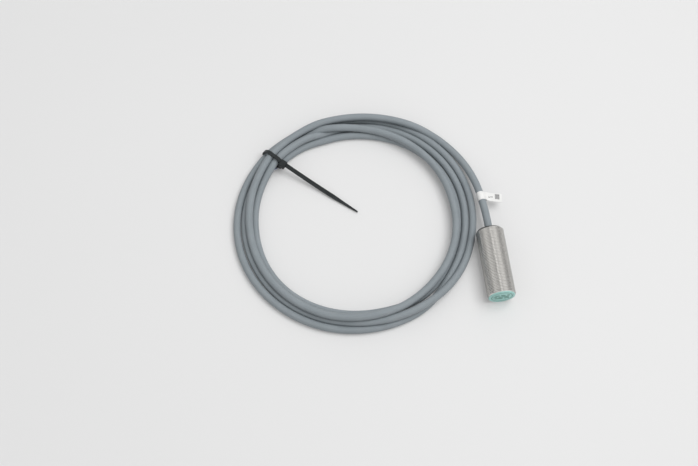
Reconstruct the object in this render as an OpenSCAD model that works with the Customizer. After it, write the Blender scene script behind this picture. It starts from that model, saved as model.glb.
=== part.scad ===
// Inductive proximity sensor with a threaded barrel and a fixed three-core cable.
// The barrel lies on its side along Y with its sensing face towards -Y, and its lowest
// line touches z = 0. The cable leaves the rear end and lies beside it, wound in a coil
// that a cable tie holds.

/* [Barrel] */
// Outside diameter of the metric thread on the barrel
thread_d = 18; // [18:1:20]
// Distance from one thread crest to the next
thread_pitch = 1; // [1:0.25:1.5]
// Length of the metal barrel
barrel_l = 46; // [46:1:60]
// Distance from the thread crests to the bore
wall_t = 1.2; // [1.1:0.1:1.2]
// Size of the bevel around the front edge
front_bevel = 0.5; // [0.4:0.1:0.6]
// Size of the bevel around the rear edge
rear_bevel = 1; // [0.8:0.1:1.1]

/* [Sensing end] */
// How far the cap stands proud of the barrel
cap_lip = 0.5; // [0.3:0.1:0.8]
// Thickness of the cap's sensing face
cap_face_t = 1.2; // [0.8:0.1:1.4]
// Outside diameter of the ferrite pot core
core_d = 12.4; // [12:0.1:12.4]
// Height of the ferrite pot core
core_h = 6; // [5:0.5:6]

/* [Electronics] */
// Length of the circuit board
board_l = 28; // [24:1:28]
// Width of the circuit board
board_w = 11.5; // [10:0.5:12]
// Thickness of the circuit board
board_t = 1; // [0.8:0.1:1.2]

/* [Cable] */
// Outside diameter of the cable
cable_d = 4.9; // [4.5:0.1:5]
// Outside diameter of each insulated core
core_wire_d = 1.2; // [1:0.1:1.3]
// Angle of coil over which the stripped cores show
stripped_angle = 35; // [20:1:40]

/* [Coil] */
// Distance from the barrel's axis to the middle of the coil
coil_x = -85; // [-95:0.5:-85]
// Distance of the coil's middle behind the middle of the barrel
coil_y = 45; // [30:1:60]
// Radius of the open middle of the coil
coil_in_r = 60; // [55:0.5:62]
// Outside radius of the coil
coil_out_r = 79.6; // [78:0.1:79.6]
// Height of the coil, two layers of cable
coil_h = 9.2; // [8.5:0.1:9.6]

/* [Tie and label] */
// Where the tie goes round the coil, measured from +X
tie_angle = 134.5; // [100:0.5:170]
// Width of the tie's strap
strap_w = 2.5; // [2.5:0.1:3.6]
// Thickness of the tie's strap
strap_t = 1; // [0.9:0.1:1.2]
// Length of the strap's loose tail
tail_l = 58; // [30:1:60]
// Length of the label's flag, from the cable to its free end
flag_l = 15; // [12:0.5:20]
// Width of the label along the cable
flag_w = 6; // [5:0.5:10]

/* [Hidden] */
$fn = 96;
cut = 1;
gap = 0.05;

thread_r = thread_d / 2;
overall_l = cap_lip + barrel_l;
bore_r = thread_r - wall_t;

// Basic profile of a metric thread, as shares of its pitch
crest_share = 1 / 8;
root_share = 1 / 4;
depth_share = 0.5413;
root_r = thread_r - depth_share * thread_pitch;
root_w = root_share * thread_pitch;
flank_w = (1 - crest_share - root_share) * thread_pitch / 2;
front_rim = 0.4;
rear_rim = 0.4;
thread_from = cap_lip + front_bevel + front_rim;
thread_to = overall_l - rear_bevel - rear_rim;
groove_count = floor((thread_to - thread_from) / thread_pitch);

// Cap that closes the sensing end
cap_r = thread_r - front_bevel;
cap_edge = 0.2;
cap_skirt_r = 6.7;
cap_skirt_l = 7.6;
cap_end = cap_lip + cap_skirt_l;
seal_w = 1;
seal_depth = 0.5;
cap_seal_depth = 4.2;
cap_seal_at = cap_lip + cap_seal_depth;

// Ferrite core, its winding and what lies around them
core_front = cap_face_t + gap;
core_back = core_front + core_h;
core_r = core_d / 2;
core_wall = 1;
core_floor = 1.8;
core_post_r = 2.6;
core_hole_r = 0.8;
core_floor_at = core_back - core_floor;
slack = 0.15;
spool_r = core_r - core_wall - slack;
spool_bore_r = core_post_r + slack;
spool_wall = 0.4;
spool_from = core_front + 2 * slack;
spool_to = core_floor_at - slack;
winding_r = spool_r - slack;
shield_in_r = core_r + slack;
shield_out_r = cap_skirt_r - gap;
lead_x = 4.2;
lead_r = 0.15;
lead_hole_r = 0.4;
lead_on_board = 1.5;
spacer_t = 1;

// Circuit board, edge on to the axis, with its upper side towards local -Y
board_setback = 0.8;
board_from = core_back + spacer_t + board_setback;
board_to = board_from + board_l;
board_top = -board_t / 2;
board_under = board_t / 2;
notch = 1.5;
sleeve_in_r = bore_r - 0.8;
sleeve_out_r = bore_r - 0.2;
sleeve_past = 1;
sleeve_to = board_to + sleeve_past;

// Places of the parts on the board, from its front edge
chip_at = board_from + 7;
power_at = board_from + 17;
filter_at = board_from + 5;
under_at = board_from + 8;
resistors_at = board_from + 12;
resistor_step = 3;
led_at = board_to - 3;
side_x = 4.4;
under_x = -3;

// Cable end, its three cores and the rear closure
cable_r = cable_d / 2;
wire_r = core_wire_d / 2;
wire_circle_r = 1.15;
wire_names = ["sienna", "royalblue", "dimgray"];
wire_pitch = 3.4;
pad_at = board_to - 4;
pad_l = 1;
solder_r = 0.9;
bend_at = board_to + 0.3;
jacket_from = board_to + 2.6;
resin_from = sleeve_to + 1;
resin_l = 2.4;
resin_to = resin_from + resin_l;
stop_t = 1.3;
stop_r = 3.4;
rear_recess = 0.5;
plug_to = overall_l - rear_recess;
plug_bore_r = 3.7;
grommet_r = plug_bore_r - gap;
collar_r = 4.4;
plug_seal_depth = 2.6;
plug_seal_at = plug_to - plug_seal_depth;

// Route of the cable from the barrel to the coil, in the frame of the whole part
LEAD_ROUTE = [
    [0, overall_l / 2 + gap, 9], [0, 30, 9], [-0.2, 37, 8.9], [-0.7, 44, 8.6], [-1.6, 54, 7.7],
    [-3.6, 64, 6.4], [-7.3, 75.3, 4.6], [-13.5, 86.8, 3.2], [-22.8, 98, 3.2], [-35, 106.8, 5.8]
];
route_steps = 2;
tube_sides = 12;

// Stripped cores at the far end, tucked under the upper layer of the coil
end_angle = 139;
end_rows = [[68.2, 0.6], [69.4, 0.6], [68.8, 1.65]];

// Tie around the coil at its narrowest place, and its head
tie_in_r = 62;
tie_out_r = 77.9;
tie_h = 9.6;
tie_corner = 3;
head_size = [5, 4.6, 3.6];
head_from_z = 6.2;
tip_l = 9;
tip_w = 1;
// How far the loose tail turns away from the line to the coil's middle
tail_turn = 5.5;

// Label: its wrap follows the cable, and its flag is turned a little against it
label_t = 0.3;
label_at = [-1.06, 48.8, 8.21];
label_lean = [-5.1, 0, 5.1];
flag_skew = -14;
label_in_r = cable_r + 2 * gap;

function groove(at) = [
    [thread_r, at],
    [root_r, at + flank_w],
    [root_r, at + flank_w + root_w],
    [thread_r, at + 2 * flank_w + root_w]
];

function unit(v) = v / norm(v);

// One point of a smooth curve through p[1] and p[2], where t runs from 0 to 1
function between(p, t) = 0.5 * (
    2 * p[1] + (p[2] - p[0]) * t + (2 * p[0] - 5 * p[1] + 4 * p[2] - p[3]) * t * t
    + (3 * p[1] - p[0] - 3 * p[2] + p[3]) * t * t * t
);

function around(route, i) = [
    for (k = [i - 1 : i + 2]) route[max(0, min(len(route) - 1, k))]
];

function smoothed(route, steps) = concat(
    [for (i = [0 : len(route) - 2], s = [0 : steps - 1]) between(around(route, i), s / steps)],
    [route[len(route) - 1]]
);

function heading(path, i) = unit(path[min(len(path) - 1, i + 1)] - path[max(0, i - 1)]);

// Places local +Z, which starts at the sensing face, along the row's +Y
module along_barrel() {
    translate([0, -overall_l / 2, thread_r]) rotate([-90, 0, 0]) children();
}

module ring(r_in, r_out, from, to) {
    translate([0, 0, from]) difference() {
        cylinder(r = r_out, h = to - from);
        translate([0, 0, -cut]) cylinder(r = r_in, h = to - from + 2 * cut);
    }
}

// A box that stands on one side of the board; side is -1 for its top and 1 for its underside
module on_board(x, z, size, side) {
    base = side < 0 ? board_top - size[1] : board_under;
    translate([x - size[0] / 2, base, z - size[2] / 2]) cube(size);
}

// A chip part with a body and two metal ends, lying along the axis
module chip_part(x, z, size, side) {
    on_board(x, z, size, side);
    end_l = size[2] / 5;
    for (way = [-1, 1])
        on_board(x, z + way * (size[2] / 2 - end_l / 2), [size[0] + 0.1, size[1] + 0.05, end_l], side);
}

module rod(a, b, r) {
    run = b - a;
    translate(a)
        rotate([0, acos(run[2] / norm(run)), atan2(run[1], run[0])])
            cylinder(r = r, h = norm(run));
}

// A tube swept along a path of points
module tube(path, r, sides) {
    rings = [
        for (i = [0 : len(path) - 1])
            let (
                ahead = heading(path, i),
                side = unit(cross(ahead, [0, 0, 1])),
                up = cross(side, ahead)
            )
            for (k = [0 : sides - 1])
                path[i] + r * (cos(360 * k / sides) * side + sin(360 * k / sides) * up)
    ];
    walls = [
        for (i = [0 : len(path) - 2], k = [0 : sides - 1])
            let (next = (k + 1) % sides)
            [i * sides + k, (i + 1) * sides + k, (i + 1) * sides + next, i * sides + next]
    ];
    first = [for (k = [0 : sides - 1]) k];
    last = [for (k = [sides - 1 : -1 : 0]) (len(path) - 1) * sides + k];
    polyhedron(points = rings, faces = concat(walls, [first, last]));
}

module threaded_barrel() {
    grooves = [for (i = [0 : groove_count - 1]) each groove(thread_from + i * thread_pitch)];
    front = [[bore_r, cap_lip], [thread_r - front_bevel, cap_lip], [thread_r, cap_lip + front_bevel]];
    rear = [[thread_r, overall_l - rear_bevel], [thread_r - rear_bevel, overall_l], [bore_r, overall_l]];
    color("silver") along_barrel()
        rotate_extrude() polygon(concat(front, grooves, rear));
}

module sensing_cap() {
    wall = [
        [0, 0], [cap_r - cap_edge, 0], [cap_r, cap_edge], [cap_r, cap_lip], [bore_r, cap_lip],
        [bore_r, cap_seal_at], [bore_r - seal_depth, cap_seal_at],
        [bore_r - seal_depth, cap_seal_at + seal_w], [bore_r, cap_seal_at + seal_w],
        [bore_r, cap_end], [cap_skirt_r, cap_end], [cap_skirt_r, cap_face_t], [0, cap_face_t]
    ];
    color("mediumaquamarine") along_barrel() rotate_extrude() polygon(wall);
}

module seal(at) {
    section_r = seal_depth / 2 - gap / 2;
    color("black") along_barrel()
        translate([0, 0, at + seal_w / 2])
            rotate_extrude() translate([bore_r - seal_depth / 2, 0]) circle(r = section_r);
}

module cap_seal_ring() {
    seal(cap_seal_at);
}

module shield_ring() {
    color("peru") along_barrel() ring(shield_in_r, shield_out_r, core_front, core_back);
}

module ferrite_core() {
    color("darkslategray") along_barrel() difference() {
        translate([0, 0, core_front]) cylinder(r = core_r, h = core_h);
        ring(core_post_r, core_r - core_wall, core_front - cut, core_floor_at);
        translate([0, 0, core_front - cut]) cylinder(r = core_hole_r, h = core_h + 2 * cut);
        for (way = [-1, 1])
            translate([way * lead_x, board_under + lead_r, core_front])
                cylinder(r = lead_hole_r, h = core_h + cut);
    }
}

module coil_bobbin() {
    color("ivory") along_barrel() difference() {
        union() {
            ring(spool_bore_r, spool_bore_r + spool_wall, spool_from, spool_to);
            ring(spool_bore_r, spool_r, spool_from, spool_from + spool_wall);
            ring(spool_bore_r, spool_r, spool_to - spool_wall, spool_to);
        }
        for (way = [-1, 1])
            translate([way * lead_x, board_under + lead_r, spool_to - spool_wall - cut / 2])
                cylinder(r = lead_hole_r, h = spool_wall + cut);
    }
}

module coil_winding() {
    color("orangered") along_barrel()
        ring(spool_bore_r + spool_wall + gap, winding_r, spool_from + spool_wall + gap,
            spool_to - spool_wall - gap);
}

module coil_leads() {
    from = spool_to - spool_wall - gap;
    color("orange") along_barrel()
        for (way = [-1, 1])
            translate([way * lead_x, board_under + lead_r, from])
                cylinder(r = lead_r, h = board_from + lead_on_board - from);
}

module core_spacer() {
    from = core_back + gap;
    color("whitesmoke") along_barrel() difference() {
        translate([0, 0, from]) cylinder(r = cap_skirt_r - gap, h = spacer_t);
        for (way = [-1, 1])
            translate([way * lead_x, board_under + lead_r, from - cut])
                cylinder(r = lead_hole_r, h = spacer_t + 2 * cut);
    }
}

module circuit_board() {
    color("seagreen") along_barrel() difference() {
        translate([-board_w / 2, board_top, board_from]) cube([board_w, board_t, board_l]);
        for (way = [-1, 1])
            translate([way * board_w / 2 - notch / 2, board_top - cut, board_to - notch])
                cube([notch, board_t + 2 * cut, notch + cut]);
    }
}

module sensor_chip() {
    body = [3.9, 1.5, 4.9];
    leg = [1.1, 0.4, 0.42];
    leg_pitch = 1.27;
    color("dimgray") along_barrel() {
        on_board(0, chip_at, body, -1);
        for (way = [-1, 1], i = [-1.5 : 1 : 1.5])
            on_board(way * (body[0] + leg[0]) / 2, chip_at + i * leg_pitch, leg, -1);
    }
}

module output_transistor() {
    body = [4.5, 1.5, 2.5];
    tab = [1.7, 0.4, 1];
    leg = [0.45, 0.4, 1];
    leg_pitch = 1.5;
    color("dimgray") along_barrel() {
        on_board(0, power_at, body, -1);
        on_board(0, power_at - (body[2] + tab[2]) / 2, tab, -1);
        for (i = [-1 : 1])
            on_board(i * leg_pitch, power_at + (body[2] + leg[2]) / 2, leg, -1);
    }
}

module protection_diode() {
    body = [2.6, 2, 4.3];
    leg = [1.5, 0.4, 0.5];
    color("dimgray") along_barrel() {
        on_board(0, power_at, body, 1);
        for (way = [-1, 1])
            on_board(0, power_at + way * (body[2] + leg[2]) / 2, leg, 1);
    }
}

module capacitors() {
    size = [1.25, 1.1, 2];
    color("tan") along_barrel() {
        chip_part(-side_x, filter_at, size, -1);
        chip_part(side_x, filter_at, size, -1);
        chip_part(under_x, under_at, size, 1);
    }
}

module resistors() {
    size = [0.8, 0.45, 1.6];
    color("black") along_barrel()
        for (x = [-side_x, side_x], i = [0 : 1])
            chip_part(x, resistors_at + i * resistor_step, size, -1);
}

module indicator_led() {
    size = [1.25, 0.8, 2];
    color("gold") along_barrel() chip_part(0, led_at, size, -1);
}

module solder_joints() {
    color("lightgray") along_barrel() intersection() {
        for (i = [-1 : 1])
            translate([i * wire_pitch, board_under, pad_at - pad_l]) sphere(r = solder_r);
        translate([-board_w / 2, board_under, board_from])
            cube([board_w, board_w, pad_at - board_from - gap]);
    }
}

module board_sleeve() {
    color("gainsboro") along_barrel() ring(sleeve_in_r, sleeve_out_r, cap_end + gap, sleeve_to);
}

// One insulated core, from its solder joint on the board's underside to the end of the jacket
module inner_core(i) {
    turn = 90 + 120 * (i - 1);
    pad = [(1 - i) * wire_pitch, board_under + wire_r + gap, pad_at];
    bend = [pad[0], pad[1], bend_at];
    far = [wire_circle_r * cos(turn), wire_circle_r * sin(turn), jacket_from - wire_r];
    color(wire_names[i]) along_barrel() {
        rod(pad, bend, wire_r);
        translate(bend) sphere(r = wire_r + gap / 2);
        rod(bend, far, wire_r);
    }
}

module core_brown() {
    inner_core(0);
}

module core_blue() {
    inner_core(1);
}

module core_black() {
    inner_core(2);
}

module jacket_end() {
    color("slategray") along_barrel()
        translate([0, 0, jacket_from]) cylinder(r = cable_r, h = overall_l - jacket_from);
}

module resin_plug() {
    color("darkkhaki") along_barrel() ring(cable_r + gap, bore_r - gap, resin_from, resin_to);
}

module pull_stop_ring() {
    color("goldenrod") along_barrel()
        ring(cable_r + gap, stop_r, resin_to + gap, resin_to + gap + stop_t);
}

module rear_plug() {
    wall = [
        [plug_bore_r, resin_to + gap], [bore_r, resin_to + gap],
        [bore_r, plug_seal_at], [bore_r - seal_depth, plug_seal_at],
        [bore_r - seal_depth, plug_seal_at + seal_w], [bore_r, plug_seal_at + seal_w],
        [bore_r, plug_to], [plug_bore_r, plug_to]
    ];
    color("dimgray") along_barrel() rotate_extrude() polygon(wall);
}

module plug_seal_ring() {
    seal(plug_seal_at);
}

module cable_grommet() {
    wall = [
        [cable_r + gap, resin_to + 2 * gap + stop_t], [grommet_r, resin_to + 2 * gap + stop_t],
        [grommet_r, plug_to], [collar_r, plug_to], [collar_r - cap_edge, overall_l],
        [cable_r + gap, overall_l]
    ];
    color("darkslategray") along_barrel() rotate_extrude() polygon(wall);
}

module cable_lead() {
    color("lightslategray") tube(smoothed(LEAD_ROUTE, route_steps), cable_r, tube_sides);
}

module cable_coil() {
    // outline of the bundle: wide where the lower layer lies, narrow over the upper one
    shoulder = 3.3;
    edge = 1.2;
    outline = [
        [coil_in_r + edge, 0], [coil_out_r - edge, 0], [coil_out_r, edge],
        [coil_out_r, shoulder], [coil_out_r - 1.2, 5], [coil_out_r - 3.6, coil_h],
        [coil_in_r + 4.5, coil_h], [coil_in_r, shoulder + edge], [coil_in_r, edge]
    ];
    color("lightslategray") translate([coil_x, coil_y, 0]) rotate_extrude() polygon(outline);
}

// One stripped core at the far end, lying on the ground along the coil
module end_core(i) {
    color(wire_names[i]) translate([coil_x, coil_y, 0]) rotate([0, 0, end_angle])
        rotate_extrude(angle = stripped_angle)
            translate(end_rows[i]) circle(r = wire_r);
}

module end_core_brown() {
    end_core(0);
}

module end_core_blue() {
    end_core(1);
}

module end_core_black() {
    end_core(2);
}

// A rectangle with cut corners, for the tie's loop
function loop_outline(x0, x1, z0, z1, c) = [
    [x0 + c, z0], [x1 - c, z0], [x1, z0 + c], [x1, z1 - c],
    [x1 - c, z1], [x0 + c, z1], [x0, z1 - c], [x0, z0 + c]
];

module cable_tie() {
    head_x = tie_in_r - head_size[0] + strap_t;
    tail_from = [head_x + 1, 0, head_from_z + head_size[2] / 2];
    tail_drop = atan2(tail_from[2] - strap_t / 2, tail_l);
    tip_at = tail_l - tip_l;
    color("dimgray") translate([coil_x, coil_y, 0]) rotate([0, 0, tie_angle]) {
        rotate([90, 0, 0]) linear_extrude(strap_w, center = true) difference() {
            polygon(loop_outline(tie_in_r - strap_t, tie_out_r + strap_t, 0, tie_h + 2 * strap_t,
                tie_corner + strap_t / 2));
            polygon(loop_outline(tie_in_r, tie_out_r, strap_t, tie_h + strap_t, tie_corner));
        }
        translate([head_x, -head_size[1] / 2, head_from_z]) cube(head_size);
        translate(tail_from) rotate([0, 0, tail_turn]) rotate([0, 180 - tail_drop, 0])
            translate([0, 0, -strap_t / 2]) linear_extrude(strap_t) polygon([
                [0, -strap_w / 2], [tip_at, -strap_w / 2], [tail_l, -tip_w / 2],
                [tail_l, tip_w / 2], [tip_at, strap_w / 2], [0, strap_w / 2]
            ]);
    }
}

module flag_label() {
    wrap_r = label_in_r + label_t;
    root_x = wrap_r - label_t / 2;
    free_end = [
        for (side = [1, -1])
            [flag_l * cos(flag_skew) - side * flag_w / 2 * sin(flag_skew),
             flag_l * sin(flag_skew) + side * flag_w / 2 * cos(flag_skew)]
    ];
    color("white") translate(label_at) rotate(label_lean) {
        rotate([90, 0, 0]) ring(label_in_r, wrap_r, -flag_w / 2, flag_w / 2);
        translate([0, 0, -label_t / 2]) linear_extrude(label_t)
            polygon(concat([[root_x, -flag_w / 2], [root_x, flag_w / 2]], free_end));
    }
}

threaded_barrel();
sensing_cap();
cap_seal_ring();
shield_ring();
ferrite_core();
coil_bobbin();
coil_winding();
coil_leads();
core_spacer();
circuit_board();
sensor_chip();
output_transistor();
protection_diode();
capacitors();
resistors();
indicator_led();
solder_joints();
board_sleeve();
core_brown();
core_blue();
core_black();
jacket_end();
resin_plug();
pull_stop_ring();
rear_plug();
plug_seal_ring();
cable_grommet();
cable_lead();
cable_coil();
end_core_brown();
end_core_blue();
end_core_black();
cable_tie();
flag_label();
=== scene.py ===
"""Looks of the proximity sensor: a threaded barrel that lies beside its coiled cable.

Everything is in metres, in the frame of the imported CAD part: the barrel lies along Y with its
sensing face towards -Y, the cable leaves towards +Y, and the ground is z = 0.
"""

import math

import bmesh
import bpy
import numpy as np
from mathutils import Matrix, Vector


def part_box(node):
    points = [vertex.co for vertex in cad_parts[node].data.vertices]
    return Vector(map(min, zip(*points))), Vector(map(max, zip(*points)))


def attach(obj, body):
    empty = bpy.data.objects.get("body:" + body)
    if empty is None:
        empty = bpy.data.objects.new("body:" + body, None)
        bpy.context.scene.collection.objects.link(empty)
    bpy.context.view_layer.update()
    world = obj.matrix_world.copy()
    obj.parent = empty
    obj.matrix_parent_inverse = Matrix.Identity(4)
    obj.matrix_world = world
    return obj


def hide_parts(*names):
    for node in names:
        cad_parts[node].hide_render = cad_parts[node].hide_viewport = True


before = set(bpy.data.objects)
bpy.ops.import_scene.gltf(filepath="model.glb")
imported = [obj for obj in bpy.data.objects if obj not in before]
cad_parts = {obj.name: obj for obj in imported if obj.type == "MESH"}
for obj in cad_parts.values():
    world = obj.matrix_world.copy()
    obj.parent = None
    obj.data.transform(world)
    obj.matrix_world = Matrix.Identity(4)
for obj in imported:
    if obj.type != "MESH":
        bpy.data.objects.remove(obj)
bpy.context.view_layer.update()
MM = 0.001

# ---------------------------------------- measures from the frame
BARREL_LO, BARREL_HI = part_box("threaded_barrel")
CAP_LO, CAP_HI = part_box("sensing_cap")
COIL_LO, COIL_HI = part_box("cable_coil")
JACKET_LO, JACKET_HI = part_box("jacket_end")
BARREL_R = (BARREL_HI[2] - BARREL_LO[2]) / 2
AXIS_Z = (BARREL_HI[2] + BARREL_LO[2]) / 2
FRONT_Y = CAP_LO[1]
METAL_FRONT_Y, METAL_REAR_Y = BARREL_LO[1], BARREL_HI[1]
GROMMET_FRONT_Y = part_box("cable_grommet")[0][1]
COIL_X = (COIL_LO[0] + COIL_HI[0]) / 2
COIL_Y = (COIL_LO[1] + COIL_HI[1]) / 2
CABLE_D = JACKET_HI[2] - JACKET_LO[2]
CABLE_R = CABLE_D / 2

# ---------------------------------------- measures of the barrel
THREAD_PITCH = 1.0 * MM
THREAD_DEPTH = 0.54 * MM
FRONT_BEVEL, REAR_BEVEL = 0.5 * MM, 1.3 * MM
BORE_R = 7.8 * MM
THREAD_SIDES = 128
# One pitch of the thread as shares of the pitch and of the depth below the crest
THREAD_PROFILE = [(-0.08, 0.0), (0.08, 0.0), (0.13, 0.06), (0.25, 0.48), (0.37, 0.9), (0.43, 0.985),
                  (0.5, 1.0), (0.57, 0.985), (0.63, 0.9), (0.75, 0.48), (0.87, 0.06)]

# ---------------------------------------- camera
# Degrees round the part and above it, distance in metres, lens and film in mm
CAMERA_AZIMUTH, CAMERA_ELEVATION, CAMERA_DISTANCE = -7.05, 65.57, 0.7408
CAMERA_TARGET = Vector((-0.0898, 0.0366, 0))
CAMERA_LENS, FILM_WIDTH = 58.3, 36


def make_camera():
    """Looks down at the part from the front, a little to the left of the barrel's axis."""
    azimuth, elevation = math.radians(CAMERA_AZIMUTH), math.radians(CAMERA_ELEVATION)
    back = Vector((
        math.sin(azimuth) * math.cos(elevation),
        -math.cos(azimuth) * math.cos(elevation),
        math.sin(elevation),
    ))
    data = bpy.data.cameras.new("camera")
    data.lens, data.sensor_width = CAMERA_LENS, FILM_WIDTH
    data.clip_start, data.clip_end = 0.01, 50
    camera = bpy.data.objects.new("camera", data)
    camera.rotation_mode = "QUATERNION"
    camera.location = CAMERA_TARGET + back * CAMERA_DISTANCE
    camera.rotation_quaternion = (-back).to_track_quat("-Z", "Y")
    bpy.context.scene.collection.objects.link(camera)
    bpy.context.scene.camera = camera


make_camera()


# ---------------------------------------- small tools for meshes
def put_back(work, mesh, smooth=True):
    """Ends an edit of a mesh: its faces are turned outwards and shaded."""
    bmesh.ops.recalc_face_normals(work, faces=work.faces)
    work.to_mesh(mesh)
    work.free()
    for polygon in mesh.polygons:
        polygon.use_smooth = smooth


def new_object(name, points, faces, material, smooth=True):
    """An object in the scene, made from points and faces."""
    mesh = bpy.data.meshes.new(name)
    mesh.from_pydata([tuple(p) for p in points], [], [tuple(f) for f in faces])
    mesh.materials.append(material)
    made = bpy.data.objects.new(name, mesh)
    bpy.context.scene.collection.objects.link(made)
    work = bmesh.new()
    work.from_mesh(mesh)
    put_back(work, mesh, smooth)
    return made


def sharpen(made, degrees):
    """Keeps the edges that turn by more than this crisp, with the rest smooth."""
    made.data.set_sharp_from_angle(angle=math.radians(degrees))
    return made


def loop_faces(rows, columns, closed_rows=False, closed_columns=True):
    """Quads of a grid of points whose index is row * columns + column."""
    faces = []
    for r in range(rows if closed_rows else rows - 1):
        for c in range(columns if closed_columns else columns - 1):
            r2, c2 = (r + 1) % rows, (c + 1) % columns
            faces.append((r * columns + c, r2 * columns + c, r2 * columns + c2, r * columns + c2))
    return faces


def between(a, b, c, d, t):
    """A smooth curve from b to c, the share t of the way, which follows a and leads to d."""
    return 0.5 * (2 * b + (c - a) * t + (2 * a - 5 * b + 4 * c - d) * t ** 2
                  + (3 * b - a - 3 * c + d) * t ** 3)


def catmull(points, steps):
    """A smooth curve through the points, with this many steps between two of them."""
    p = [np.array(q, float) for q in points]
    made = []
    for i in range(len(p) - 1):
        a, b, c, d = p[max(i - 1, 0)], p[i], p[i + 1], p[min(i + 2, len(p) - 1)]
        made += [between(a, b, c, d, k / steps) for k in range(steps)]
    return np.array([*made, p[-1]])


def lengths(path):
    """How far along the path each of its points lies."""
    return np.concatenate([[0], np.cumsum(np.linalg.norm(np.diff(path, axis=0), axis=1))])


def evenly(path, step):
    """The path again, with its points about step apart."""
    path = np.array(path, float)
    along = lengths(path)
    at = np.linspace(0, along[-1], max(2, round(along[-1] / step) + 1))
    return np.stack([np.interp(at, along, path[:, k]) for k in range(3)], axis=1)


def eased(path, times):
    """The path with its corners eased, its ends kept."""
    path = np.array(path, float)
    for _ in range(times):
        path[1:-1] = path[1:-1] / 2 + (path[:-2] + path[2:]) / 4
    return path


def frames(path):
    """For each point of a path its side and its top, which is as near to upright as can be."""
    ahead = np.gradient(np.array(path, float), axis=0)
    ahead /= np.linalg.norm(ahead, axis=1)[:, None]
    side = np.cross(ahead, (0.0, 0.0, 1.0))
    side /= np.linalg.norm(side, axis=1)[:, None]
    return side, np.cross(side, ahead)


def add_uv(made, rows, columns, along, around):
    """A map in metres: along the piece in u, round it in v."""
    layer = made.data.uv_layers.new(name="Along")
    for polygon in made.data.polygons:
        corners = [(made.data.loops[i].vertex_index, i) for i in polygon.loop_indices]
        cols = [v % columns for v, _ in corners if v < rows * columns]
        wraps = bool(cols) and max(cols) - min(cols) > columns / 2
        for v, i in corners:
            if v < rows * columns:
                c = v % columns
                lift = columns if wraps and c < columns / 2 else 0
                layer.data[i].uv = (along[v // columns], around * (c + lift) / columns)


def tube(name, path, radius, sides, material, end_dish=0.0):
    """A round tube along a path. Each end has a soft rim, and may be dished inside it."""
    path = np.array(path, float)
    rows = len(path)
    side, top = frames(path)
    turn = np.linspace(0, 2 * math.pi, sides, endpoint=False)
    ring = side[:, None] * np.cos(turn)[None, :, None] + top[:, None] * np.sin(turn)[None, :, None]
    points = list((path[:, None] + ring * radius).reshape(-1, 3))
    faces = loop_faces(rows, sides)
    # Rings that close an end: share of the radius, and how far out they stand
    end_rings = [(0.93, 0.05 * radius), (0.7, -end_dish), (0.35, -end_dish)]
    for row, into in ((0, 1), (rows - 1, -1)):
        direction = path[row] - path[row + into]
        direction /= np.linalg.norm(direction)
        chain = [row * sides]
        for share, outwards in end_rings:
            chain.append(len(points))
            middle = path[row] + direction * outwards
            points += [middle + ring[row, k] * radius * share for k in range(sides)]
        for a, b in zip(chain[:-1], chain[1:]):
            for k in range(sides):
                faces.append((a + k, a + (k + 1) % sides, b + (k + 1) % sides, b + k))
        faces.append(tuple(chain[-1] + k for k in range(sides)))
    made = new_object(name, points, faces, material)
    add_uv(made, rows, sides, lengths(path), 2 * math.pi * radius)
    return sharpen(made, 50)


def rounded(corners, radius, steps=3):
    """An outline of (radius, y) points with each corner cut to a small arc."""
    made = []
    n = len(corners)
    for i in range(n):
        a, b, c = (np.array(corners[j % n], float) for j in (i - 1, i, i + 1))
        r = min(radius, 0.45 * np.linalg.norm(a - b), 0.45 * np.linalg.norm(c - b))
        p, q = b + (a - b) / np.linalg.norm(a - b) * r, b + (c - b) / np.linalg.norm(c - b) * r
        for k in range(steps + 1):
            t = k / steps
            made.append((1 - t) ** 2 * p + 2 * t * (1 - t) * b + t ** 2 * q)
    return made


def circle(radius, y, sides):
    """Points of a circle about the barrel's axis."""
    turns = [2 * math.pi * k / sides for k in range(sides)]
    return [(radius * math.cos(turn), y, AXIS_Z + radius * math.sin(turn)) for turn in turns]


def lathe(name, outline, sides, material):
    """A closed ring turned about the barrel's axis from an outline of (radius, y) points."""
    points = [point for radius, y in outline for point in circle(radius, y, sides)]
    made = new_object(name, points, loop_faces(len(outline), sides, closed_rows=True), material)
    return sharpen(made, 40)


def groove(radius, y, depth, mouth, bed):
    """A groove's outline from inside to outside: its half width is mouth on top and bed below."""
    return [(radius - mouth, y), (radius - bed, y + depth), (radius + bed, y + depth),
            (radius + mouth, y)]


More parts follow.
